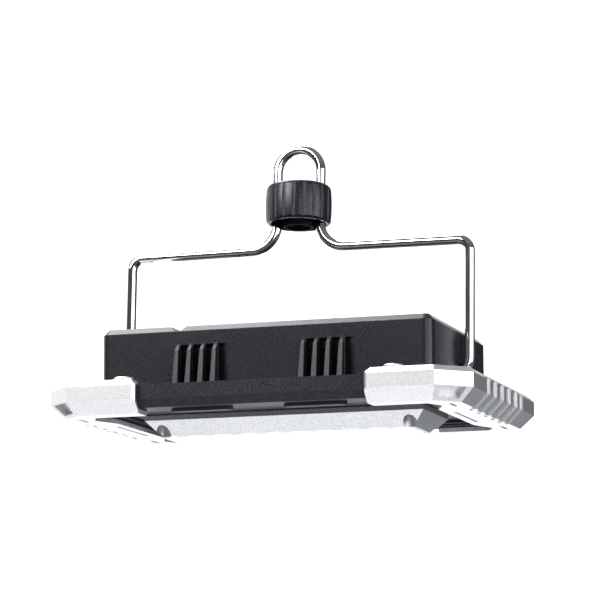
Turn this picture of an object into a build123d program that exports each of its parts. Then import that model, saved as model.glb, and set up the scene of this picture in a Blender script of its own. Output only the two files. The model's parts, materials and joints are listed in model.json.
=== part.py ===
"""Hanging LED light: black housing, silver end guards and a wire bail to hang it by.

Units are millimetres and +Z is up.  The origin is the inner top of the hanging
loop, where a hook bears.  The lamp's own heights are counted from the ridge line
of the guards, and the bail's from the pivot axis.
"""
import os
from math import asin
from math import cos
from math import radians
from math import sin

from build123d import *

# ---------------------------------------------------------------- dimensions
# hanging geometry
lean = 3.4                    # bail's backward lean against the lamp, degrees
loop_reach = 146.4            # pivot axis to the inner top of the loop
pivot_height = 20.0           # pivot axis above the guards' ridge line

# end guards
guard_half_length = 135.0
guard_half_width = 95.2
guard_corner = 19.0           # corner cut, measured along each side
guard_low = -8.5
guard_top = 12.1
guard_upper_bevel = 3.4
guard_skin = 2.8
arm_tip = 72.5                # where the guard's arms end
arm_inner = 73.4
rib_pitch = 17.1
rib_width = 5.6
rib_depth = 1.45
panel_half = 44.7
boss_x = 86.2
boss_y = 77.0
boss_top = 15.3

# frame
frame_half_length = 129.5
frame_half_width = 89.7
frame_corner = 24.0
frame_low = -5.0
frame_top = 8.8
frame_wall = 3.1
core_low = guard_low + guard_skin + 0.05
opening_x = 200.0
opening_y = 120.0
rebate_x = 213.6
rebate_y = 129.2
rebate_z = -2.6
recess_x = 208.0
recess_y = 132.0
recess_depth = 0.8

# rear housing
housing_x = 213.2
housing_y = 128.6
housing_top = 47.8
housing_corner = 6.1
housing_bevel = 3.5
housing_wall = 3.0
housing_roof = 5.0
flange_low = 5.8
clamp_low = 1.0

# air vents: fins stand in front of slots
fin_pitch = 8.15
fin_top_width = 2.4
fin_foot_width = 3.6
fin_starts = (-55.35, 25.85)     # right-hand faces of the first fins are 1.3 further
scoop_floor = 1.9                # flat part of the last slot
scoop_foot_reach = 6.8           # its far side's run at the foot
scoop_top_reach = 4.6            # and at the top
vent_low = 11.0
vent_high = 35.5
slot_width = 5.2

# light bar
plate_low = -2.2
plate_top = clamp_low
bar_x = 181.8
bar_y = 57.6
bar_skirt = -5.9
bar_low = -15.2
lens_low = -16.5
lens_x = 162.0
lens_y = 38.4
bar_screw_x = 80.7
bar_screw_y = 21.8
bar_screw_seat = -4.8

# bail and collar
wire_r = 3.2
leg_x = 112.7
wire_end = 90.0
foot_bend = 8.5
bar_height = 84.0             # crossbar at its shoulders
bar_rise = 0.7                # further rise towards the neck
shoulder_bend = 7.5
neck_bend = 16.5
neck_x = 14.4
collar_r = 21.1
collar_low = 100.5
collar_high = 125.4
groove_count = 20

# pivots
bush_r = 5.5
bush_bore = 3.26
bush_outer = 103.2
bush_inner = 95.5

# cable entry in the rear wall, x and height
gland_spot = (70.5, 22.0)

# ------------------------------------------------------------------- planes
body_y = -loop_reach * sin(radians(lean))
body_z = -loop_reach * cos(radians(lean)) - pivot_height


def level(z):
    """Horizontal plane of the lamp at height z above the ridge line."""
    return Plane(origin=(0, body_y, body_z + z))


def front(y):
    """Upright plane across the lamp: sketch x is X, sketch y is height."""
    return Plane(origin=(0, body_y + y, body_z), x_dir=(1, 0, 0), z_dir=(0, -1, 0))


def side(x):
    """Upright plane along Y: sketch x is Y, sketch y is height."""
    return Plane(origin=(x, body_y, body_z), x_dir=(0, 1, 0), z_dir=(1, 0, 0))


bail_up = (0, sin(radians(lean)), cos(radians(lean)))
bail_face = Plane(
    origin=(0, body_y, body_z + pivot_height),
    x_dir=(1, 0, 0),
    z_dir=(0, -cos(radians(lean)), sin(radians(lean))),
)


def bail_level(h):
    """Plane square to the bail at height h above the pivot axis."""
    return Plane(
        origin=(0, body_y + h * bail_up[1], body_z + pivot_height + h * bail_up[2]),
        x_dir=(1, 0, 0),
        z_dir=bail_up,
    )


def octagon(half_x, half_y, cut):
    """Corner points of a rectangle with its corners cut at 45 degrees."""
    return [
        (half_x, half_y - cut),
        (half_x - cut, half_y),
        (cut - half_x, half_y),
        (-half_x, half_y - cut),
        (-half_x, cut - half_y),
        (cut - half_x, -half_y),
        (half_x - cut, -half_y),
        (half_x, cut - half_y),
    ]


def save(builder, name):
    """Label the node and write its STEP file."""
    builder.part.label = name
    export_step(builder.part, "parts/" + name + ".step")
    print(name, round(builder.part.volume / 1000, 2), "cm3")


os.makedirs("parts", exist_ok=True)
rib_rows = [rib_pitch * k for k in range(-2, 3)]
boss_spots = [(sx * boss_x, sy * boss_y) for sx in (-1, 1) for sy in (-1, 1)]
flange_spots = [(x, sy * boss_y) for x in (-55.0, 0.0, 55.0) for sy in (-1, 1)]

# window under each guard, between its arms and its end plate
window = [
    (60.0, -arm_inner),
    (106.0, -arm_inner),
    (111.5, -61.0),
    (104.0, -42.0),
    (104.0, 42.0),
    (111.5, 61.0),
    (106.0, arm_inner),
    (60.0, arm_inner),
]

# ---------------------------------------------------- ends of the frame
with BuildPart() as end_core:
    with BuildSketch(level(core_low)):
        Polygon(
            *octagon(
                guard_half_length - guard_skin,
                guard_half_width - guard_skin,
                frame_corner,
            ),
            align=None,
        )
    extrude(amount=frame_top - core_low)
    chamfer(end_core.faces().sort_by(Axis.Z)[0].edges(), length=-core_low)
    with BuildSketch(level(core_low - 1)):
        Rectangle(2 * arm_tip - 0.4, 300)
    extrude(amount=30, mode=Mode.SUBTRACT)
    with BuildSketch(level(core_low - 1)):
        Polygon(*window, align=None)
        mirror(about=Plane.YZ)
    extrude(amount=frame_low - core_low + 1, mode=Mode.SUBTRACT)

# ---------------------------------------------------------------- guards
with BuildPart() as guard_right:
    with BuildSketch(level(guard_low)):
        Polygon(
            *octagon(guard_half_length, guard_half_width, guard_corner), align=None
        )
    extrude(amount=guard_top - guard_low)
    chamfer(guard_right.faces().sort_by(Axis.Z)[0].edges(), length=-guard_low)
    chamfer(
        guard_right.faces().sort_by(Axis.Z)[-1].edges(), length=guard_upper_bevel
    )
    with BuildSketch(level(guard_low - 1)):
        with Locations((arm_tip - 150, 0)):
            Rectangle(300, 300)
    extrude(amount=30, mode=Mode.SUBTRACT)
    # screw bosses on the arms
    with BuildSketch(level(guard_top - 1)):
        with Locations((boss_x, -boss_y), (boss_x, boss_y)):
            Circle(6.5)
    extrude(amount=boss_top - guard_top + 1)
    chamfer(guard_right.edges().group_by(Axis.Z)[-1], length=1.0)
    # room for the frame's end, and the openings below and above
    add(end_core.part, mode=Mode.SUBTRACT)
    with BuildSketch(level(guard_low - 1)):
        Polygon(*window, align=None)
    extrude(amount=frame_low - guard_low + 1, mode=Mode.SUBTRACT)
    with BuildSketch(level(core_low)):
        with Locations((53.5, 0)):
            Rectangle(110, 140)
    extrude(amount=guard_top - core_low + 1, mode=Mode.SUBTRACT)
    # ribbed panel down the end face
    rows = [-panel_half - rib_width / 2] + rib_rows + [panel_half + rib_width / 2]
    for below, above in zip(rows[:-1], rows[1:]):
        groove = above - below - rib_width
        with BuildSketch(front(above - rib_width / 2)):
            inner = guard_half_length - rib_depth
            bend = rib_depth * 0.4142
            with BuildLine():
                Polyline(
                    (inner, 20),
                    (inner + 9, 20),
                    (inner + 9, -20),
                    (inner - 20 - bend, -20),
                    (inner, bend),
                    close=True,
                )
            make_face()
        extrude(amount=groove, mode=Mode.SUBTRACT)
    # pockets in the lower bevel of the cut corners
    for sy in (-1, 1):
        pocket_face = Plane(
            origin=(
                guard_half_length - guard_corner / 2,
                body_y + sy * (guard_half_width - guard_corner / 2),
                body_z,
            ),
            x_dir=(-sy, 1, 0),
            z_dir=(0.5, 0.5 * sy, -(0.5**0.5)),
        )
        with BuildSketch(pocket_face):
            Polygon(
                (-9.2, -0.8), (9.2, -0.8), (6.8, -9.6), (-6.8, -9.6), align=None
            )
        extrude(amount=-3.4, mode=Mode.SUBTRACT)
    # slots in the underside
    with BuildSketch(level(guard_low)):
        with Locations((118.5, -62), (118.5, 62)):
            Rectangle(2.2, 15)
        with Locations((110.2, 0)):
            Rectangle(2.0, 54)
        with Locations(*[(122.4, y) for y in rib_rows]):
            Rectangle(1.6, 7)
    extrude(amount=1.4, mode=Mode.SUBTRACT)
    # eased tips of the arms
    with BuildSketch(front(100)):
        with BuildLine():
            Polyline(
                (arm_tip - 1, 7.7), (arm_tip - 1, 14), (arm_tip + 5.3, 14), close=True
            )
        make_face()
    extrude(amount=200, mode=Mode.SUBTRACT)
    with BuildSketch(level(guard_low - 1)):
        with Locations((arm_tip, -guard_half_width), (arm_tip, guard_half_width)):
            Rectangle(2.4, 2.4, rotation=45)
    extrude(amount=30, mode=Mode.SUBTRACT)
    # screw holes
    with BuildSketch(level(frame_top - 1)):
        with Locations((boss_x, -boss_y), (boss_x, boss_y)):
            Circle(2.1)
    extrude(amount=10, mode=Mode.SUBTRACT)
    with BuildSketch(level(boss_top - 2.8)):
        with Locations((boss_x, -boss_y), (boss_x, boss_y)):
            Circle(4.2)
    extrude(amount=5, mode=Mode.SUBTRACT)
save(guard_right, "guard_right")

with BuildPart() as guard_left:
    mirror(guard_right.part, about=Plane.YZ)
save(guard_left, "guard_left")

# ----------------------------------------------------------------- frame
with BuildPart() as frame:
    with BuildSketch(level(frame_low)):
        Polygon(
            *octagon(frame_half_length, frame_half_width, frame_corner), align=None
        )
    extrude(amount=frame_top - frame_low)
    chamfer(frame.faces().sort_by(Axis.Z)[0].edges(), length=-frame_low)
    add(end_core.part)
    # ramps that lead up to the guards' arms
    for sy in (-1, 1):
        wall_face = frame_half_width if sy > 0 else frame_wall - frame_half_width
        with BuildSketch(front(wall_face)):
            for sx in (-1, 1):
                with BuildLine():
                    Polyline(
                        (sx * (arm_tip - 5.0), frame_top - 0.5),
                        (sx * (arm_tip - 5.0), frame_top),
                        (sx * (arm_tip - 0.1), guard_top - 0.3),
                        (sx * (arm_tip - 0.1), frame_top - 0.5),
                        close=True,
                    )
                make_face()
        extrude(amount=frame_wall)
    with BuildSketch(level(-1.5)):
        Polygon(
            *octagon(
                frame_half_length - frame_wall,
                frame_half_width - frame_wall,
                frame_corner,
            ),
            align=None,
        )
    extrude(amount=30, mode=Mode.SUBTRACT)
    # pillars for the screws
    with BuildSketch(level(-1.6)):
        with Locations(*boss_spots):
            Circle(4.5)
        with Locations(*flange_spots):
            Circle(4.5)
    extrude(amount=flange_low + 1.6)
    with BuildSketch(level(rebate_z)):
        Rectangle(rebate_x, rebate_y)
    extrude(amount=30, mode=Mode.SUBTRACT)
    with BuildSketch(level(frame_low - 1)):
        Rectangle(opening_x, opening_y)
    extrude(amount=30, mode=Mode.SUBTRACT)
    with BuildSketch(level(frame_low - 1)):
        Rectangle(recess_x, recess_y)
    extrude(amount=1 + recess_depth, mode=Mode.SUBTRACT)
    with BuildSketch(level(-1.0)):
        with Locations(*boss_spots):
            Circle(1.6)
        with Locations(*flange_spots):
            Circle(1.6)
    extrude(amount=20, mode=Mode.SUBTRACT)
save(frame, "frame")

with BuildPart() as face_pads:
    with BuildSketch(level(frame_low)):
        for sx in (-1, 1):
            for sy in (-1, 1):
                with Locations((sx * 36.2, sy * 73.8)):
                    Polygon(
                        (-20, 0), (-16.8, -3.7), (16.8, -3.7),
                        (20, 0), (16.8, 3.7), (-16.8, 3.7),
                        align=None,
                    )
    extrude(amount=-2.0)
save(face_pads, "face_pads")

# ---------------------------------------------------------- rear housing
with BuildPart() as fins:
    with BuildSketch(side(-60)):
        for sy in (-1, 1):
            with BuildLine():
                Polyline(
                    (sy * 62.0, frame_top - 0.5),
                    (sy * 70.2, frame_top - 0.5),
                    (sy * 67.8, 32.1),
                    (sy * 64.3, 36.0),
                    (sy * 62.0, 36.0),
                    close=True,
                )
            make_face()
    extrude(amount=120)
    # each fin widens towards its foot on one side only
    fin_rows = []
    for sy in (-1, 1):
        with BuildSketch(front(90 if sy > 0 else 0)):
            for start in fin_starts:
                for k in range(4):
                    flip = 1 if sy < 0 else -1
                    face = start + 1.3 + k * fin_pitch
                    with BuildLine():
                        Polyline(
                            (flip * face, 0),
                            (flip * face, 40),
                            (flip * (face - fin_top_width), 40),
                            (flip * (face - fin_top_width), 33),
                            (flip * (face - fin_foot_width), frame_top),
                            (flip * (face - fin_foot_width), 0),
                            close=True,
                        )
                    make_face()
        fin_rows.extend(extrude(amount=90, mode=Mode.PRIVATE).solids())
    add(fin_rows, mode=Mode.INTERSECT)


def scoop_face(height, flip, sy, edge, reach):
    """Outline of the last slot: its far side rolls out into the wall over this reach."""
    depth = housing_wall + 0.5
    roll_r = (reach**2 + depth**2) / (2 * depth)
    half = asin(reach / roll_r) / 2
    face_y = housing_y / 2
    floor_end = edge + scoop_floor
    end = floor_end + reach
    middle = (end - roll_r * sin(half), face_y - roll_r * (1 - cos(half)))

    def place(x, y):
        return (flip * x, sy * y)

    with BuildSketch(level(height)) as outline:
        with BuildLine():
            Polyline(
                place(end, face_y),
                place(end, face_y + 0.5),
                place(edge, face_y + 0.5),
                place(edge, face_y - depth),
                place(floor_end, face_y - depth),
            )
            ThreePointArc(
                place(floor_end, face_y - depth), place(*middle), place(end, face_y)
            )
        make_face()
    return outline.sketch


with BuildPart() as rear_housing:
    with BuildSketch(level(flange_low)):
        Polygon(
            *octagon(
                frame_half_length - frame_wall - 0.15,
                frame_half_width - frame_wall - 0.15,
                frame_corner,
            ),
            align=None,
        )
    extrude(amount=frame_top - flange_low)
    with BuildSketch(level(clamp_low)):
        RectangleRounded(housing_x, housing_y, housing_corner)
    extrude(amount=housing_top - clamp_low)
    chamfer(
        rear_housing.faces().sort_by(Axis.Z)[-1].edges(), length=housing_bevel
    )
    add(fins.part)
    with BuildSketch(level(clamp_low - 1)):
        RectangleRounded(
            housing_x - 2 * housing_wall, housing_y - 2 * housing_wall, 3.1
        )
    extrude(amount=housing_top - housing_roof - clamp_low + 1, mode=Mode.SUBTRACT)
    # slots, and the scoop that runs into the last one
    for sy in (-1, 1):
        for start in fin_starts:
            flip = 1 if sy < 0 else -1
            wall_y = sy * (housing_y / 2 - housing_wall / 2)
            slots = [flip * (start + (k + 0.5) * fin_pitch) for k in range(3)]
            with BuildSketch(level(vent_low)):
                with Locations(*[(x, wall_y) for x in slots]):
                    Rectangle(slot_width, housing_wall + 1)
            extrude(amount=vent_high - vent_low, mode=Mode.SUBTRACT)
            last = start + 3 * fin_pitch
            loft(
                [
                    scoop_face(vent_low, flip, sy, last + 1.5, scoop_foot_reach),
                    scoop_face(vent_high, flip, sy, last + 1.5, scoop_top_reach),
                ],
                mode=Mode.SUBTRACT,
            )
    # drain groove across the roof
    with BuildSketch(front(80)):
        with BuildLine():
            Polyline(
                (-61.4, housing_top + 0.1),
                (-58.1, housing_top - 3.3),
                (-54.3, housing_top - 3.3),
                (-51.0, housing_top + 0.1),
                close=True,
            )
        make_face()
    extrude(amount=160, mode=Mode.SUBTRACT)
    # bosses that carry the bail's bushes
    for sx in (-1, 1):
        with BuildSketch(side(sx * bush_inner)):
            with Locations((0, pivot_height)):
                Circle(9)
        extrude(amount=sx * (housing_x / 2 - bush_inner - 1))
        with BuildSketch(side(sx * bush_inner)):
            with Locations((0, pivot_height)):
                Circle(bush_r)
        extrude(amount=sx * 20, mode=Mode.SUBTRACT)
    # cable entry in the rear wall
    with BuildSketch(front(80)):
        with Locations(gland_spot):
            Circle(6.3)
    extrude(amount=30, mode=Mode.SUBTRACT)
    with BuildSketch(level(flange_low - 1)):
        with Locations(*boss_spots):
            Circle(2.1)
        with Locations(*flange_spots):
            Circle(2.1)
    extrude(amount=5, mode=Mode.SUBTRACT)
    with BuildSketch(level(frame_top - 2)):
        with Locations(*flange_spots):
            Circle(3.9)
    extrude(amount=5, mode=Mode.SUBTRACT)
save(rear_housing, "rear_housing")

with BuildPart() as vent_screens:
    for sy in (-1, 1):
        for start in fin_starts:
            flip = 1 if sy < 0 else -1
            middle = flip * (start + 14.0)
            with BuildSketch(level(9.5)):
                with Locations((middle, sy * (housing_y / 2 - housing_wall - 0.6))):
                    Rectangle(38, 1.2)
            extrude(amount=28)
save(vent_screens, "vent_screens")

# --------------------------------------------------- face plate and seal
with BuildPart() as plate_seal:
    with BuildSketch(level(rebate_z)):
        Rectangle(rebate_x - 0.6, rebate_y - 0.6)
        Rectangle(opening_x, opening_y, mode=Mode.SUBTRACT)
    extrude(amount=plate_low - rebate_z)
save(plate_seal, "plate_seal")

sink_spots = [(x, y) for x in (-81, 13) for y in (-46, 46)]
bar_spots = [(sx * bar_screw_x, sy * bar_screw_y) for sx in (-1, 1) for sy in (-1, 1)]
with BuildPart() as face_plate:
    with BuildSketch(level(plate_low)):
        Rectangle(rebate_x - 0.6, rebate_y - 0.6)
        with Locations(*bar_spots):
            Circle(1.9, mode=Mode.SUBTRACT)
        with Locations(*sink_spots):
            Circle(1.9, mode=Mode.SUBTRACT)
        with Locations((22, 0)):
            Circle(3.0, mode=Mode.SUBTRACT)
    extrude(amount=plate_top - plate_low)
save(face_plate, "face_plate")

# ------------------------------------------------------------- light bar
with BuildPart() as light_bar:
    with BuildSketch(level(plate_low)):
        Rectangle(bar_x, bar_y)
    extrude(amount=bar_skirt - plate_low)
    with BuildSketch(level(bar_skirt)):
        Rectangle(bar_x, bar_y)
    with BuildSketch(level(bar_low)):
        Rectangle(lens_x + 2.4, lens_y + 2.4)
    loft()
    chamfer(
        light_bar.faces().sort_by(Axis.Z)[-1].edges(), length=0.6
    )
    with BuildSketch(level(plate_low)):
        Rectangle(151.2, 35.0)
    extrude(amount=bar_low - plate_low, mode=Mode.SUBTRACT)
    with BuildSketch(level(bar_screw_seat)):
        with Locations(*bar_spots):
            Circle(4.6)
    extrude(amount=-14, mode=Mode.SUBTRACT)
    with BuildSketch(level(0)):
        with Locations(*bar_spots):
            Circle(2.1)
    extrude(amount=-12, mode=Mode.SUBTRACT)
save(light_bar, "light_bar")

with BuildPart() as lens:
    with BuildSketch(level(bar_low)):
        Rectangle(lens_x + 2.4, lens_y + 2.4)
    with BuildSketch(level(lens_low)):
        Rectangle(lens_x, lens_y)
    loft()
    with BuildSketch(level(lens_low - 1)):
        with Locations(*bar_spots):
            Circle(4.6)
    extrude(amount=5, mode=Mode.SUBTRACT)
save(lens, "lens")

with BuildPart() as reflector:
    with BuildSketch(level(bar_low)):
        Rectangle(150.8, 34.6)
        Rectangle(148.4, 32.2, mode=Mode.SUBTRACT)
    extrude(amount=10.6)
save(reflector, "reflector")

with BuildPart() as led_board:
    with BuildSketch(level(plate_low)):
        Rectangle(150.0, 34.0)
        with Locations((22, 0)):
            Circle(2.6, mode=Mode.SUBTRACT)
    extrude(amount=-1.6)
save(led_board, "led_board")

with BuildPart() as led_packages:
    with BuildSketch(level(plate_low - 1.6)):
        with Locations((-35.5, 0), (39.5, 0)):
            with GridLocations(8.6, 9.5, 7, 3):
                Rectangle(5.0, 5.0)
    extrude(amount=-0.8)
save(led_packages, "led_packages")

# ------------------------------------------------------------- heat sink
with BuildPart() as heat_sink:
    with BuildSketch(level(plate_top)):
        with Locations((-34, 0)):
            Rectangle(104, 104)
    extrude(amount=4)
    with BuildSketch(level(plate_top + 4)):
        with Locations((-34, 0)):
            with GridLocations(7, 1, 13, 1):
                Rectangle(1.8, 100)
    extrude(amount=29)
    with BuildSketch(level(plate_top)):
        with Locations(*sink_spots):
            Circle(2.1)
    extrude(amount=10, mode=Mode.SUBTRACT)
    with BuildSketch(level(plate_top + 4)):
        with Locations(*sink_spots):
            Circle(4.4)
    extrude(amount=40, mode=Mode.SUBTRACT)
save(heat_sink, "heat_sink")


def pan_screws(spots, seat, head_r, head_h, shank_r, reach, down=True):
    """Pan-head screws with a cross recess; seat is the height of the head's face."""
    turn = 1 if down else -1
    with BuildPart() as screws:
        with BuildSketch(level(seat)):
            with Locations(*spots):
                Circle(head_r)
        extrude(amount=turn * head_h)
        rim = screws.edges().filter_by(GeomType.CIRCLE).group_by(Axis.Z)
        chamfer(rim[-1 if down else 0], length=0.4)
        with BuildSketch(level(seat)):
            with Locations(*spots):
                Circle(shank_r)
        extrude(amount=-turn * reach)
        with BuildSketch(level(seat + turn * head_h)):
            with Locations(*spots):
                Rectangle(head_r * 1.1, 0.9)
                Rectangle(0.9, head_r * 1.1)
        extrude(amount=-turn * head_h * 0.6, mode=Mode.SUBTRACT)
    return screws


save(pan_screws(sink_spots, plate_top + 4, 3.4, 2.2, 1.85, 6.0), "heat_sink_screws")
save(pan_screws(boss_spots, boss_top - 2.8, 3.6, 2.4, 1.55, 12.0), "guard_screws")
save(pan_screws(flange_spots, frame_top - 2, 3.4, 1.8, 1.55, 7.0), "housing_screws")
save(
    pan_screws(bar_spots, bar_screw_seat, 3.8, 2.2, 1.85, 5.6, down=False), "light_bar_screws"
)

# ---------------------------------------------------------------- driver
driver_x = 55.0
with BuildPart() as driver_case:
    with BuildSketch(level(plate_top)):
        with Locations((driver_x, 0)):
            Rectangle(58, 84)
    extrude(amount=29)
    with BuildSketch(level(plate_top + 2)):
        with Locations((driver_x, 0)):
            Rectangle(54, 80)
    extrude(amount=29, mode=Mode.SUBTRACT)
    lid_spots = [(driver_x + sx * 23.5, sy * 36.5) for sx in (-1, 1) for sy in (-1, 1)]
    with BuildSketch(level(plate_top + 1)):
        with Locations(*lid_spots):
            Rectangle(7.5, 7.5)
    extrude(amount=28)
    with BuildSketch(level(plate_top + 29)):
        with Locations(*lid_spots):
            Circle(1.3)
    extrude(amount=-10, mode=Mode.SUBTRACT)
    with BuildSketch(side(driver_x - 31)):
        with Locations((0, 11.5)):
            Circle(2.6)
    extrude(amount=5, mode=Mode.SUBTRACT)
save(driver_case, "driver_case")

with BuildPart() as driver_lid:
    with BuildSketch(level(plate_top + 29)):
        with Locations((driver_x, 0)):
            Rectangle(58, 84)
        with Locations(*lid_spots):
            Circle(1.6, mode=Mode.SUBTRACT)
    extrude(amount=1.6)
save(driver_lid, "driver_lid")
save(pan_screws(lid_spots, plate_top + 30.6, 2.6, 1.6, 1.25, 8.0), "driver_screws")

board_z = plate_top + 6.0
with BuildPart() as driver_board:
    with BuildSketch(level(board_z)):
        with Locations((driver_x, 0)):
            Rectangle(53, 64)
    extrude(amount=1.6)
    with BuildSketch(level(plate_top + 2)):
        with Locations((driver_x - 20, -28), (driver_x + 20, -28)):
            Circle(2.5)
        with Locations((driver_x - 20, 28), (driver_x + 20, 28)):
            Circle(2.5)
    extrude(amount=4)
save(driver_board, "driver_board")

with BuildPart() as driver_transformer:
    with BuildSketch(level(board_z + 1.6)):
        with Locations((driver_x - 8, -6)):
            Rectangle(22, 18)
    extrude(amount=16)
    with BuildSketch(level(board_z + 4.0)):
        with Locations((driver_x - 8, -6)):
            Rectangle(26, 12)
    extrude(amount=11)
save(driver_transformer, "driver_transformer")

with BuildPart() as driver_capacitors:
    with BuildSketch(level(board_z + 1.6)):
        with Locations((driver_x + 14, -20), (driver_x + 14, -7), (driver_x - 16, 20)):
            Circle(5.0)
    extrude(amount=17)
    tops = driver_capacitors.edges().filter_by(GeomType.CIRCLE).group_by(Axis.Z)[-1]
    chamfer(tops, length=0.6)
save(driver_capacitors, "driver_capacitors")

with BuildPart() as driver_choke:
    with BuildSketch(level(board_z + 1.6)):
        with Locations((driver_x + 4, 20)):
            Circle(8.0)
            Circle(3.0, mode=Mode.SUBTRACT)
    extrude(amount=8)
    chamfer(
        driver_choke.edges().filter_by(GeomType.CIRCLE).group_by(Axis.Z)[-1], length=1.0
    )
save(driver_choke, "driver_choke")

with BuildPart() as driver_transistors:
    with BuildSketch(level(board_z + 1.6)):
        with Locations((driver_x + 22, 6), (driver_x + 22, 18)):
            Rectangle(4.5, 10)
    extrude(amount=15)
save(driver_transistors, "driver_transistors")

# lead from the driver through the face plate to the board of lights
with BuildPart() as light_lead:
    with BuildLine() as lead_path:
        FilletPolyline(
            (22.0, body_y, body_z + plate_low - 1.0),
            (22.0, body_y, body_z + 11.5),
            (30.0, body_y, body_z + 11.5),
            radius=3.0,
        )
    with BuildSketch(Plane(origin=lead_path.line @ 0, z_dir=lead_path.line % 0)):
        Circle(1.5)
    sweep()
save(light_lead, "light_lead")

# ------------------------------------------------------------ cable entry
with BuildPart() as gland_body:
    with BuildSketch(front(housing_y / 2)):
        with Locations(gland_spot):
            RegularPolygon(9.5, 6)
    extrude(amount=-5)
    with BuildSketch(front(housing_y / 2 - 8)):
        with Locations(gland_spot):
            Circle(6.0)
    extrude(amount=-17.5)
    with BuildSketch(front(housing_y / 2 - 9)):
        with Locations(gland_spot):
            Circle(3.6)
    extrude(amount=-30, mode=Mode.SUBTRACT)
save(gland_body, "gland_body")

with BuildPart() as gland_nut:
    with BuildSketch(front(housing_y / 2 - housing_wall)):
        with Locations(gland_spot):
            RegularPolygon(8.6, 6)
            Circle(6.0, mode=Mode.SUBTRACT)
    extrude(amount=4)
save(gland_nut, "gland_nut")

with BuildPart() as gland_cap:
    with BuildSketch(front(housing_y / 2 + 5.2)):
        with Locations(gland_spot):
            Circle(8.5)
    extrude(amount=-6.5)
    chamfer(
        gland_cap.edges().filter_by(GeomType.CIRCLE).group_by(Axis.Y)[-1], length=2.2
    )
    with BuildSketch(front(housing_y / 2 + 5.2)):
        with Locations(gland_spot):
            Circle(6.0)
    extrude(amount=-4.5, mode=Mode.SUBTRACT)
    with BuildSketch(front(housing_y / 2 + 5.2)):
        with Locations(gland_spot):
            Circle(4.0)
    extrude(amount=-20, mode=Mode.SUBTRACT)
save(gland_cap, "gland_cap")

# ---------------------------------------------------------------- pivots
for sx, name in ((-1, "pivot_bush_left"), (1, "pivot_bush_right")):
    with BuildPart() as bush:
        with BuildSketch(side(sx * bush_inner)):
            with Locations((0, pivot_height)):
                Circle(bush_r)
        extrude(amount=sx * (bush_outer - bush_inner))
        with BuildSketch(side(sx * bush_inner)):
            with Locations((0, pivot_height)):
                Circle(8.0)
        extrude(amount=-sx * 1.5)
        with BuildSketch(side(sx * 90)):
            with Locations((0, pivot_height)):
                Circle(bush_bore)
        extrude(amount=sx * 20, mode=Mode.SUBTRACT)
    save(bush, name)

with BuildPart() as pivot_washers:
    for sx in (-1, 1):
        with BuildSketch(side(sx * 93.7)):
            with Locations((0, pivot_height)):
                Circle(7.0)
                Circle(wire_r, mode=Mode.SUBTRACT)
        extrude(amount=-sx * 1.0)
save(pivot_washers, "pivot_washers")

with BuildPart() as pivot_clips:
    for sx in (-1, 1):
        with BuildSketch(side(sx * 92.7)):
            with Locations((0, pivot_height)):
                Circle(5.8)
                Circle(wire_r, mode=Mode.SUBTRACT)
                with Locations((0, 5)):
                    Rectangle(2.2, 8, mode=Mode.SUBTRACT)
        extrude(amount=-sx * 1.2)
save(pivot_clips, "pivot_clips")

# ------------------------------------------------------------------ bail
neck_top = loop_reach + wire_r - neck_x
with BuildPart() as bail:
    with BuildLine(bail_face) as bail_path:
        left = FilletPolyline(
            (-wire_end, 0),
            (-leg_x, 0),
            (-leg_x, bar_height),
            (-neck_x, bar_height + bar_rise),
            (-neck_x, neck_top),
            radius=[foot_bend, shoulder_bend, neck_bend],
        )
        crown = ThreePointArc(
            (-neck_x, neck_top), (0, neck_top + neck_x), (neck_x, neck_top)
        )
        right = FilletPolyline(
            (neck_x, neck_top),
            (neck_x, bar_height + bar_rise),
            (leg_x, bar_height),
            (leg_x, 0),
            (wire_end, 0),
            radius=[neck_bend, shoulder_bend, foot_bend],
        )
    with BuildSketch(side(-wire_end)):
        with Locations((0, pivot_height)):
            Circle(wire_r)
    sweep(path=bail_path.wires()[0])
save(bail, "bail")

# ---------------------------------------------------------------- collar
with BuildPart() as collar:
    with BuildSketch(bail_face):
        with BuildLine():
            Polyline(
                (collar_r - 0.5, collar_low + 1.5),
                (collar_r - 1.9, collar_low),
                (0, collar_low),
                (0, collar_high),
                (collar_r - 3.4, collar_high),
            )
            ThreePointArc(
                (collar_r - 3.4, collar_high),
                (collar_r - 1.4, collar_high - 0.9),
                (collar_r - 0.5, collar_high - 3.0),
            )
            ThreePointArc(
                (collar_r - 0.5, collar_high - 3.0),
                (collar_r, (collar_low + collar_high) / 2),
                (collar_r - 0.5, collar_low + 1.5),
            )
        make_face()
    revolve(axis=Axis(bail_face.origin, bail_up))
    with BuildSketch(bail_level(collar_low - 1)):
        with PolarLocations(collar_r + 0.25, groove_count, start_angle=9):
            Circle(1.15)
    extrude(amount=30, mode=Mode.SUBTRACT)
    with BuildSketch(bail_level(collar_low - 1)):
        Circle(17.8)
    extrude(amount=collar_high - collar_low - 3.5, mode=Mode.SUBTRACT)
    with BuildSketch(bail_level(collar_low)):
        with Locations((-neck_x, 0), (neck_x, 0)):
            Circle(wire_r + 0.05)
    extrude(amount=40, mode=Mode.SUBTRACT)
    with BuildSketch(bail_level(collar_high - 5)):
        Circle(2.0)
    extrude(amount=3.0, mode=Mode.SUBTRACT)
save(collar, "collar")

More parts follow.
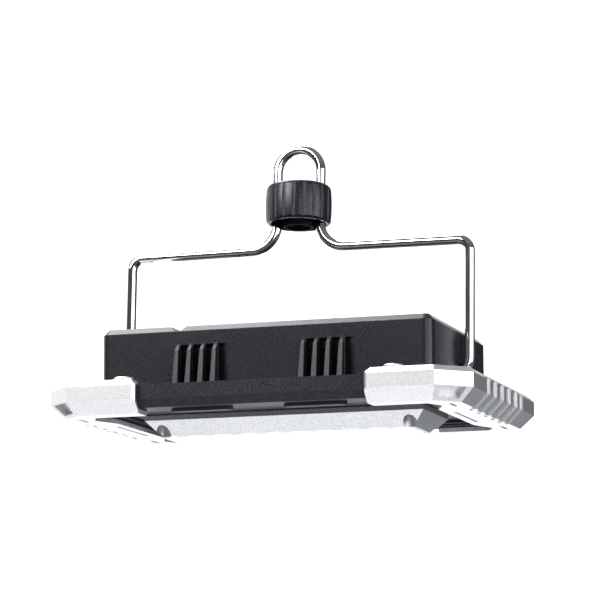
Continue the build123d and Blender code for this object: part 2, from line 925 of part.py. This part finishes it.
with BuildPart() as collar_core:
    with BuildSketch(bail_level(collar_low - 2.1)):
        Circle(9.9)
    extrude(amount=collar_high - 4.5 - collar_low + 2.0)
    with BuildSketch(bail_level(collar_high - 13)):
        Rectangle(34.2, 8.6)
        Circle(9.9)
    extrude(amount=8.4)
    with BuildSketch(bail_level(collar_low)):
        with Locations((-neck_x, 0), (neck_x, 0)):
            Circle(wire_r + 0.05)
    extrude(amount=40, mode=Mode.SUBTRACT)
    with BuildSketch(bail_level(collar_low - 2.2)):
        Circle(7.6)
    extrude(amount=1.6, mode=Mode.SUBTRACT)
    with BuildSketch(bail_level(collar_low - 2.2)):
        Circle(4.4)
    extrude(amount=6.0, mode=Mode.SUBTRACT)
    with BuildSketch(bail_level(collar_low - 2.2)):
        Circle(2.1)
    extrude(amount=40, mode=Mode.SUBTRACT)
save(collar_core, "collar_core")

with BuildPart() as collar_screw:
    with BuildSketch(bail_level(collar_low + 3.8)):
        Circle(3.9)
    extrude(amount=-2.8)
    with BuildSketch(bail_level(collar_low + 3.8)):
        Circle(1.95)
    extrude(amount=18)
    with BuildSketch(bail_level(collar_low + 1.0)):
        Rectangle(4.6, 1.0)
        Rectangle(1.0, 4.6)
    extrude(amount=1.6, mode=Mode.SUBTRACT)
save(collar_screw, "collar_screw")
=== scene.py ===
"""Looks for the hanging LED light: materials, stage, lights and camera."""

import json
import math

import bmesh
import bpy
from mathutils import Matrix, Vector

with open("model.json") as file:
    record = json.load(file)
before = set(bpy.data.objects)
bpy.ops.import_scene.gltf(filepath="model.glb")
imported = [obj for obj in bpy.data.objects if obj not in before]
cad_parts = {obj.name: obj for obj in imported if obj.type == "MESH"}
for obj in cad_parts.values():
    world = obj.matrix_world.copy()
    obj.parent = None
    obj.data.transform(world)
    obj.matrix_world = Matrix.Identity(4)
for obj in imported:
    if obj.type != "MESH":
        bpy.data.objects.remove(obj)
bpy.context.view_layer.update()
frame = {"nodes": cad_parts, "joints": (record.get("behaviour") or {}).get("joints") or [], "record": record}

# The middle of the lamp, level with its guards' ridge line: 20 mm under the pivots.
LAMP = Vector(frame["joints"][0]["pos_m"]) - Vector((0.0, 0.0, 0.020))
# The camera looks up at the lamp from its front right.
AZIMUTH = math.radians(17.996)
ELEVATION = math.radians(9.224)
ROLL = math.radians(-0.255)
EYE_DISTANCE, EYE_RIGHT, EYE_UP = 1.83331, 0.002536, 0.069756
FOCAL_LENGTH = 174.99       # millimetres, on a 36 mm sensor
WHITE = (1.0, 1.0, 1.0)


# ------------------------------------------------------------------ node help
class Shader:
    """A Principled material with its texture nodes, built in a few calls."""

    def __init__(self, name, metallic=0.0, coat=0.0, coat_rough=0.1, ior=1.45, tint=WHITE):
        self.mat = bpy.data.materials.new(name)
        self.mat.use_nodes = True
        self.tree = self.mat.node_tree
        self.main = self.tree.nodes["Principled BSDF"]
        self.main.inputs["Metallic"].default_value = metallic
        self.main.inputs["Coat Weight"].default_value = coat
        self.main.inputs["Coat Roughness"].default_value = coat_rough
        self.main.inputs["IOR"].default_value = ior
        self.main.inputs["Specular Tint"].default_value = (*tint, 1.0)
        self.coords = self.node("ShaderNodeTexCoord").outputs["Object"]

    def node(self, kind, **values):
        made = self.tree.nodes.new(kind)
        for name, value in values.items():
            setattr(made, name, value)
        return made

    def link(self, source, target):
        self.tree.links.new(source, target)

    def stretched(self, scale):
        """Object coordinates scaled along each axis."""
        made = self.node("ShaderNodeMapping")
        made.inputs["Scale"].default_value = scale
        self.link(self.coords, made.inputs["Vector"])
        return made.outputs["Vector"]

    def noise(self, scale, detail=2.0, rough=0.5, along=None):
        made = self.node("ShaderNodeTexNoise")
        made.inputs["Scale"].default_value = scale
        made.inputs["Detail"].default_value = detail
        made.inputs["Roughness"].default_value = rough
        self.link(self.stretched(along) if along else self.coords, made.inputs["Vector"])
        return made.outputs["Fac"]

    def voronoi(self, scale):
        made = self.node("ShaderNodeTexVoronoi")
        made.inputs["Scale"].default_value = scale
        self.link(self.coords, made.inputs["Vector"])
        return made.outputs["Distance"]

    def wave(self, axis, scale, distortion=0.0):
        made = self.node("ShaderNodeTexWave", bands_direction=axis)
        made.inputs["Scale"].default_value = scale
        made.inputs["Distortion"].default_value = distortion
        self.link(self.coords, made.inputs["Vector"])
        return made.outputs["Fac"]

    def span(self, value, low, high, start=0.3, end=0.7):
        """Maps start..end to low..high, clamped."""
        made = self.node("ShaderNodeMapRange")
        made.inputs["From Min"].default_value = start
        made.inputs["From Max"].default_value = end
        made.inputs["To Min"].default_value = low
        made.inputs["To Max"].default_value = high
        self.link(value, made.inputs["Value"])
        return made.outputs["Result"]

    def math(self, operation, a, b):
        made = self.node("ShaderNodeMath", operation=operation)
        for socket, value in zip(made.inputs, (a, b)):
            if isinstance(value, (int, float)):
                socket.default_value = value
            else:
                self.link(value, socket)
        return made.outputs["Value"]

    def mix(self, factor, a, b, blend="MIX"):
        made = self.node("ShaderNodeMix", data_type="RGBA", blend_type=blend)
        if isinstance(factor, (int, float)):
            made.inputs["Factor"].default_value = factor
        else:
            self.link(factor, made.inputs["Factor"])
        # a Mix node keeps its two colours on sockets 6 and 7, and its result on output 2
        for socket, value in ((made.inputs[6], a), (made.inputs[7], b)):
            if isinstance(value, tuple):
                socket.default_value = (*value, 1.0)
            else:
                self.link(value, socket)
        return made.outputs[2]

    def colour(self, value):
        self.link(value, self.main.inputs["Base Color"])

    def rough(self, value):
        self.link(value, self.main.inputs["Roughness"])

    def relief(self, layers, edge=0.0004):
        """Bumps stacked on softened edges. A layer is (height, distance, strength)."""
        made = self.node("ShaderNodeBevel", samples=5)
        made.inputs["Radius"].default_value = edge
        normal = made.outputs["Normal"]
        for height, distance, strength in layers:
            bump = self.node("ShaderNodeBump")
            bump.inputs["Distance"].default_value = distance
            bump.inputs["Strength"].default_value = strength
            self.link(height, bump.inputs["Height"])
            self.link(normal, bump.inputs["Normal"])
            normal = bump.outputs["Normal"]
        self.link(normal, self.main.inputs["Normal"])


def sand_paint(name, dark, light, metallic, rough, grain, depth, mottle=0.5, edge=0.0003):
    """Silver paint over a fine sand texture."""
    s = Shader(name, metallic=metallic)
    fine = s.noise(grain, 3.0, 0.7)
    coarse = s.noise(grain * 0.35, 2.0, 0.6)
    cloud = s.noise(26.0, 3.0, 0.55)
    mixed = s.math("ADD", s.math("MULTIPLY", fine, 0.65), s.math("MULTIPLY", coarse, 0.35))
    tone = s.mix(s.span(mixed, 0.0, 1.0, 0.36, 0.62), dark, light)
    s.colour(s.mix(s.span(cloud, 0.0, mottle * 0.16), tone, dark))
    s.rough(s.span(mixed, rough + 0.09, rough - 0.07))
    s.relief([(coarse, 0.00009, depth * 0.6), (fine, 0.00006, depth)], edge=edge)
    return s.mat


def moulded(
    name, dark, light, rough, grain=1500.0, depth=0.25, edge=0.0004, ior=1.45, tint=WHITE
):
    """Moulded plastic or rubber with a fine spark-eroded grain."""
    s = Shader(name, ior=ior, tint=tint)
    fine = s.noise(grain, 2.5, 0.65)
    cloud = s.noise(18.0, 3.0, 0.6)
    speck = s.voronoi(grain * 0.9)
    tone = s.mix(s.span(fine, 0.0, 1.0, 0.42, 0.66), dark, light)
    tone = s.mix(s.span(speck, 0.35, 0.0, 0.02, 0.22), tone, light)
    s.colour(s.mix(s.span(cloud, 0.0, 0.35), tone, dark))
    blend = s.math("ADD", s.math("MULTIPLY", fine, 0.5), s.math("MULTIPLY", cloud, 0.5))
    s.rough(s.span(blend, rough - 0.06, rough + 0.06))
    s.relief([(fine, 0.00004, depth)], edge=edge)
    return s.mat


def polished(name, dark, light, rough):
    """Bright plating over drawn wire."""
    s = Shader(name, metallic=1.0)
    smear = s.noise(60.0, 4.0, 0.6)
    drawn = s.noise(900.0, 2.0, 0.5, along=(1.0, 1.0, 0.08))
    s.colour(s.mix(s.span(smear, 0.0, 1.0), dark, light))
    s.rough(s.span(smear, rough, rough + 0.03))
    s.relief([(drawn, 0.000012, 0.12)], edge=0.0002)
    return s.mat


def zinc(name, dark, light, rough):
    """Plated screws and folded sheet with a fine crystalline bloom."""
    s = Shader(name, metallic=1.0)
    bloom = s.voronoi(420.0)
    fine = s.noise(1300.0, 2.0, 0.6)
    s.colour(s.mix(s.span(bloom, 0.0, 1.0, 0.1, 0.7), dark, light))
    s.rough(s.span(fine, rough - 0.05, rough + 0.08))
    s.relief([(fine, 0.00002, 0.3)], edge=0.0002)
    return s.mat


def extruded(name, dark, light, rough):
    """Aluminium with die lines along Y."""
    s = Shader(name, metallic=1.0)
    lines = s.noise(1400.0, 2.0, 0.5, along=(1.0, 0.02, 1.0))
    cloud = s.noise(22.0, 3.0, 0.6)
    s.colour(s.mix(s.span(lines, 0.0, 1.0), dark, light))
    s.rough(s.span(s.math("ADD", lines, cloud), rough - 0.06, rough + 0.08, 0.7, 1.3))
    s.relief([(lines, 0.00003, 0.35)], edge=0.0002)
    return s.mat


def woven(name, dark, light):
    """Fine wire cloth behind the vents."""
    s = Shader(name, ior=1.15)
    across = s.wave("X", 260.0)
    upward = s.wave("Z", 260.0)
    wire = s.math("MAXIMUM", across, upward)
    tint = s.noise(500.0)
    s.colour(s.mix(s.span(wire, 0.0, 1.0, 0.55, 0.95), dark, light))
    s.rough(s.span(tint, 0.5, 0.65))
    s.relief([(wire, 0.0002, 0.8)], edge=0.0001)
    return s.mat


def diffuser():
    """Lit lens: frosted cover with the rows of lights faintly showing through."""
    s = Shader("lens_frosted", coat=0.35, coat_rough=0.12)
    spots = s.math("MULTIPLY", s.wave("X", 18.5), s.wave("Y", 16.5))
    frost = s.noise(1600.0, 2.0, 0.6)
    cloud = s.noise(35.0, 2.0, 0.5)
    s.colour(s.mix(s.span(cloud, 0.0, 1.0), (0.52, 0.54, 0.56), (0.58, 0.59, 0.60)))
    s.rough(s.span(frost, 0.24, 0.36))
    glow = s.mix(s.span(spots, 0.0, 1.0, 0.0, 0.8), (0.56, 0.62, 0.70), (1.0, 0.99, 0.96))
    s.link(glow, s.main.inputs["Emission Color"])
    s.main.inputs["Emission Strength"].default_value = 0.8
    s.relief([(frost, 0.00003, 0.3)], edge=0.0005)
    return s.mat


def circuit(name, mask, copper):
    """Solder mask with faint tracks under it."""
    s = Shader(name)
    tracks = s.math("MAXIMUM", s.wave("X", 42.0, 2.5), s.wave("Y", 36.0, 3.0))
    fibre = s.noise(1200.0, 2.0, 0.5)
    tone = s.mix(s.span(tracks, 0.0, 0.4, 0.86, 0.95), mask, copper)
    s.colour(s.mix(s.span(fibre, 0.0, 0.12), tone, (0.05, 0.05, 0.05)))
    s.rough(s.span(fibre, 0.32, 0.45))
    s.relief([(tracks, 0.00006, 0.3), (fibre, 0.00002, 0.2)], edge=0.0001)
    return s.mat


def phosphor():
    """Yellow light packages with a low dome each."""
    s = Shader("led_phosphor", coat=0.6, coat_rough=0.05)
    grains = s.noise(2600.0, 2.0, 0.7)
    dome = s.voronoi(116.0)
    s.colour(s.mix(s.span(grains, 0.0, 1.0), (0.86, 0.66, 0.16), (0.98, 0.86, 0.42)))
    s.rough(s.span(grains, 0.2, 0.34))
    s.relief([(dome, 0.0001, 0.3), (grains, 0.00002, 0.4)], edge=0.0003)
    s.main.inputs["Emission Color"].default_value = (1.0, 0.93, 0.75, 1.0)
    s.main.inputs["Emission Strength"].default_value = 0.8
    return s.mat


finishes = {
    "guard_silver": sand_paint(
        "silver_guard", (0.58, 0.588, 0.605), (0.925, 0.93, 0.945), 0.85, 0.36, 2600.0, 0.6,
        edge=0.0002,
    ),
    "bar_silver": sand_paint(
        "silver_bar", (0.52, 0.535, 0.56), (0.94, 0.955, 0.98), 0.85, 0.38, 2300.0, 0.8, 0.9
    ),
    "frame_black": moulded(
        "black_frame", (0.018, 0.017, 0.022), (0.068, 0.064, 0.078), 0.38, 2100.0, 0.35,
        ior=1.16,
    ),
    "housing_black": moulded(
        "black_housing", (0.004, 0.004, 0.005), (0.033, 0.031, 0.038), 0.30, 1300.0, 0.4,
        edge=0.0005, tint=(0.92, 0.90, 1.0),
    ),
    "plate_black": moulded(
        "black_plate", (0.008, 0.008, 0.009), (0.022, 0.022, 0.024), 0.5, 1200.0, 0.3
    ),
    "vent_mesh": woven("black_mesh", (0.003, 0.003, 0.003), (0.012, 0.012, 0.012)),
    "pad_rubber": moulded(
        "rubber_pads", (0.022, 0.022, 0.026), (0.05, 0.05, 0.056), 0.6, 1300.0, 0.5
    ),
    "seal_rubber": moulded(
        "rubber_seal", (0.012, 0.012, 0.012), (0.03, 0.03, 0.03), 0.7, 900.0, 0.4
    ),
    "lens_clear": diffuser(),
    "reflector_white": moulded(
        "white_reflector", (0.82, 0.82, 0.81), (0.94, 0.94, 0.93), 0.25, 1500.0, 0.15
    ),
    "led_phosphor": phosphor(),
    "circuit_board": circuit("board_white", (0.84, 0.85, 0.82), (0.62, 0.50, 0.34)),
    "sink_aluminium": extruded("sink_metal", (0.58, 0.59, 0.60), (0.78, 0.79, 0.80), 0.34),
    "driver_shell": zinc("driver_sheet", (0.48, 0.49, 0.51), (0.70, 0.71, 0.72), 0.34),
    "transformer_yellow": moulded(
        "transformer_tape", (0.62, 0.42, 0.04), (0.86, 0.66, 0.14), 0.35, 700.0, 0.3
    ),
    "capacitor_sleeve": moulded(
        "capacitor_film", (0.02, 0.026, 0.05), (0.05, 0.06, 0.11), 0.25, 900.0, 0.1
    ),
    "ferrite_grey": moulded(
        "ferrite_core", (0.07, 0.07, 0.075), (0.17, 0.17, 0.18), 0.7, 1000.0, 0.5
    ),
    "component_black": moulded(
        "component_case", (0.012, 0.012, 0.012), (0.04, 0.04, 0.04), 0.55, 1800.0, 0.3
    ),
    "lead_jacket": moulded(
        "lead_silicone", (0.74, 0.73, 0.70), (0.90, 0.89, 0.87), 0.5, 800.0, 0.15
    ),
    "gland_black": moulded(
        "nylon_gland", (0.016, 0.016, 0.018), (0.042, 0.042, 0.046), 0.42, 1500.0, 0.3
    ),
    "bush_plastic": moulded(
        "nylon_bush", (0.022, 0.022, 0.024), (0.06, 0.06, 0.065), 0.36, 1500.0, 0.2
    ),
    "bail_wire": polished("chrome_wire", (0.62, 0.63, 0.66), (0.80, 0.81, 0.83), 0.025),
    "collar_plastic": moulded(
        "black_collar", (0.010, 0.009, 0.012), (0.028, 0.026, 0.034), 0.28, 1600.0, 0.15,
        edge=0.0003, tint=(0.92, 0.90, 1.0),
    ),
    "core_black": moulded(
        "black_core", (0.008, 0.008, 0.009), (0.022, 0.022, 0.024), 0.72, 1300.0, 0.3,
        ior=1.12,
    ),
    "zinc_screws": zinc("zinc_plate", (0.52, 0.53, 0.54), (0.76, 0.77, 0.78), 0.26),
    "black_screws": moulded(
        "black_oxide", (0.012, 0.012, 0.013), (0.035, 0.035, 0.036), 0.34, 1500.0, 0.2
    ),
}
for part in frame["record"]["subparts"]:
    shown = frame["nodes"][part["node"]]
    shown.data.materials.clear()
    shown.data.materials.append(finishes[part["material_slot"]])


# ------------------------------------------------------------------------ stage
def sweep_sheet():
    """Pale floor that curves up into a backdrop, square to the camera.

    It is narrow on the right, so the lamp's end faces reflect the dark room beside it.
    """
    front, low, back, bend, top = -2.6, -2.5, 3.6, 1.4, 4.5
    left_width, right_width, right_flare = 3.2, 1.15, 0.5
    steps = 16
    foot = back - bend
    profile = [(front, low), (0.0, low), (foot, low)]
    for k in range(1, steps + 1):
        a = math.radians(90 * k / steps)
        profile.append((foot + bend * math.sin(a), low + bend * (1 - math.cos(a))))
    profile.append((back, top))
    bm = bmesh.new()
    rows = []
    for side in (-1.0, 0.0, 1.0):
        row = []
        for y, z in profile:
            flare = right_flare * min(1.0, max(0.0, (foot - y) / foot))
            width = left_width if side < 0 else right_width + flare
            row.append(bm.verts.new((side * width, y, z)))
        rows.append(row)
    for a, b in zip(rows[:-1], rows[1:]):
        for k in range(len(profile) - 1):
            face = bm.faces.new((a[k], b[k], b[k + 1], a[k + 1]))
            face.smooth = True
    mesh = bpy.data.meshes.new("sweep")
    bm.to_mesh(mesh)
    bm.free()
    sheet = bpy.data.objects.new("sweep", mesh)
    sheet.rotation_euler.z = AZIMUTH
    bpy.context.scene.collection.objects.link(sheet)
    s = Shader("paper")
    fibre = s.noise(90.0, 3.0, 0.6)
    s.colour(s.mix(s.span(fibre, 0.0, 1.0), (0.90, 0.90, 0.90), (0.93, 0.93, 0.93)))
    s.rough(s.span(fibre, 0.85, 0.95))
    s.main.inputs["Emission Color"].default_value = (0.985, 0.99, 1.0, 1.0)
    # the floor glows less straight under the lamp, and least towards the left
    place = s.node("ShaderNodeSeparateXYZ")
    s.link(s.coords, place.inputs["Vector"])
    deep = s.span(place.outputs["Y"], 0.0, 0.41, 1.4, 3.3)
    aside = s.span(place.outputs["X"], 0.42, 0.62, -1.2, 1.0)
    glow = s.math("MINIMUM", s.math("ADD", deep, aside), 0.87)
    s.link(glow, s.main.inputs["Emission Strength"])
    mesh.materials.append(s.mat)


def softbox(name, place, width, height, power, tint=WHITE):
    """A soft panel light that faces the lamp."""
    lamp = bpy.data.lights.new(name, "AREA")
    lamp.shape = "RECTANGLE"
    lamp.size = width
    lamp.size_y = height
    lamp.energy = power
    lamp.color = tint
    made = bpy.data.objects.new(name, lamp)
    bpy.context.scene.collection.objects.link(made)
    made.location = place
    towards = LAMP - Vector(place)
    made.rotation_euler = towards.to_track_quat("-Z", "Y").to_euler()


def studio_world():
    """Dark room, lighter below and above, that the camera itself sees as pale."""
    world = bpy.data.worlds.new("studio")
    bpy.context.scene.world = world
    world.use_nodes = True
    tree = world.node_tree
    room = tree.nodes["Background"]
    ramp = tree.nodes.new("ShaderNodeValToRGB")
    ramp.color_ramp.elements[0].position = 0.30
    ramp.color_ramp.elements[0].color = (0.16, 0.165, 0.18, 1.0)
    ramp.color_ramp.elements[1].position = 0.52
    ramp.color_ramp.elements[1].color = (0.035, 0.035, 0.04, 1.0)
    crown = ramp.color_ramp.elements.new(0.9)
    crown.color = (0.22, 0.22, 0.23, 1.0)
    place = tree.nodes.new("ShaderNodeTexCoord")
    split = tree.nodes.new("ShaderNodeSeparateXYZ")
    spread = tree.nodes.new("ShaderNodeMapRange")
    spread.inputs["From Min"].default_value = -1.0
    tree.links.new(place.outputs["Generated"], split.inputs["Vector"])
    tree.links.new(split.outputs["Z"], spread.inputs["Value"])
    tree.links.new(spread.outputs["Result"], ramp.inputs["Fac"])
    tree.links.new(ramp.outputs["Color"], room.inputs["Color"])
    pale = tree.nodes.new("ShaderNodeBackground")
    pale.inputs["Color"].default_value = (0.96, 0.965, 0.97, 1.0)
    path = tree.nodes.new("ShaderNodeLightPath")
    pick = tree.nodes.new("ShaderNodeMixShader")
    tree.links.new(path.outputs["Is Camera Ray"], pick.inputs["Fac"])
    tree.links.new(room.outputs["Background"], pick.inputs[1])
    tree.links.new(pale.outputs["Background"], pick.inputs[2])
    tree.links.new(pick.outputs["Shader"], tree.nodes["World Output"].inputs["Surface"])


sweep_sheet()
studio_world()
# the key stands high, so the bail's upright legs reflect the dark room under it
softbox("key", (-1.06, -1.62, 1.02), 1.7, 0.8, 54.0, (1.0, 0.985, 0.965))
softbox("right", (2.07, -0.52, 0.15), 1.5, 1.3, 24.0, (0.97, 0.985, 1.0))
softbox("left", (-2.0, 0.55, 0.15), 0.8, 1.2, 4.5)
softbox("corner", (1.2, -1.62, 0.12), 1.0, 1.3, 11.0)
softbox("top", (-0.6, 0.45, 1.3), 1.3, 0.7, 28.0)
bpy.context.scene.view_settings.view_transform = "Standard"

# ----------------------------------------------------------------------- camera
forward = Vector((
    -math.sin(AZIMUTH) * math.cos(ELEVATION),
    math.cos(AZIMUTH) * math.cos(ELEVATION),
    math.sin(ELEVATION),
))
right = Vector((math.cos(AZIMUTH), math.sin(AZIMUTH), 0.0))
up = right.cross(forward)
across = right * math.cos(ROLL) + up * math.sin(ROLL)
upward = up * math.cos(ROLL) - right * math.sin(ROLL)
eye = LAMP - forward * EYE_DISTANCE + right * EYE_RIGHT + up * EYE_UP
lens = bpy.data.cameras.new("camera")
lens.lens = FOCAL_LENGTH
lens.sensor_width = 36.0
lens.clip_end = 50.0
camera = bpy.data.objects.new("camera", lens)
bpy.context.scene.collection.objects.link(camera)
turn = Matrix((across, upward, -forward)).transposed().to_4x4()
camera.matrix_world = Matrix.Translation(eye) @ turn
bpy.context.scene.camera = camera
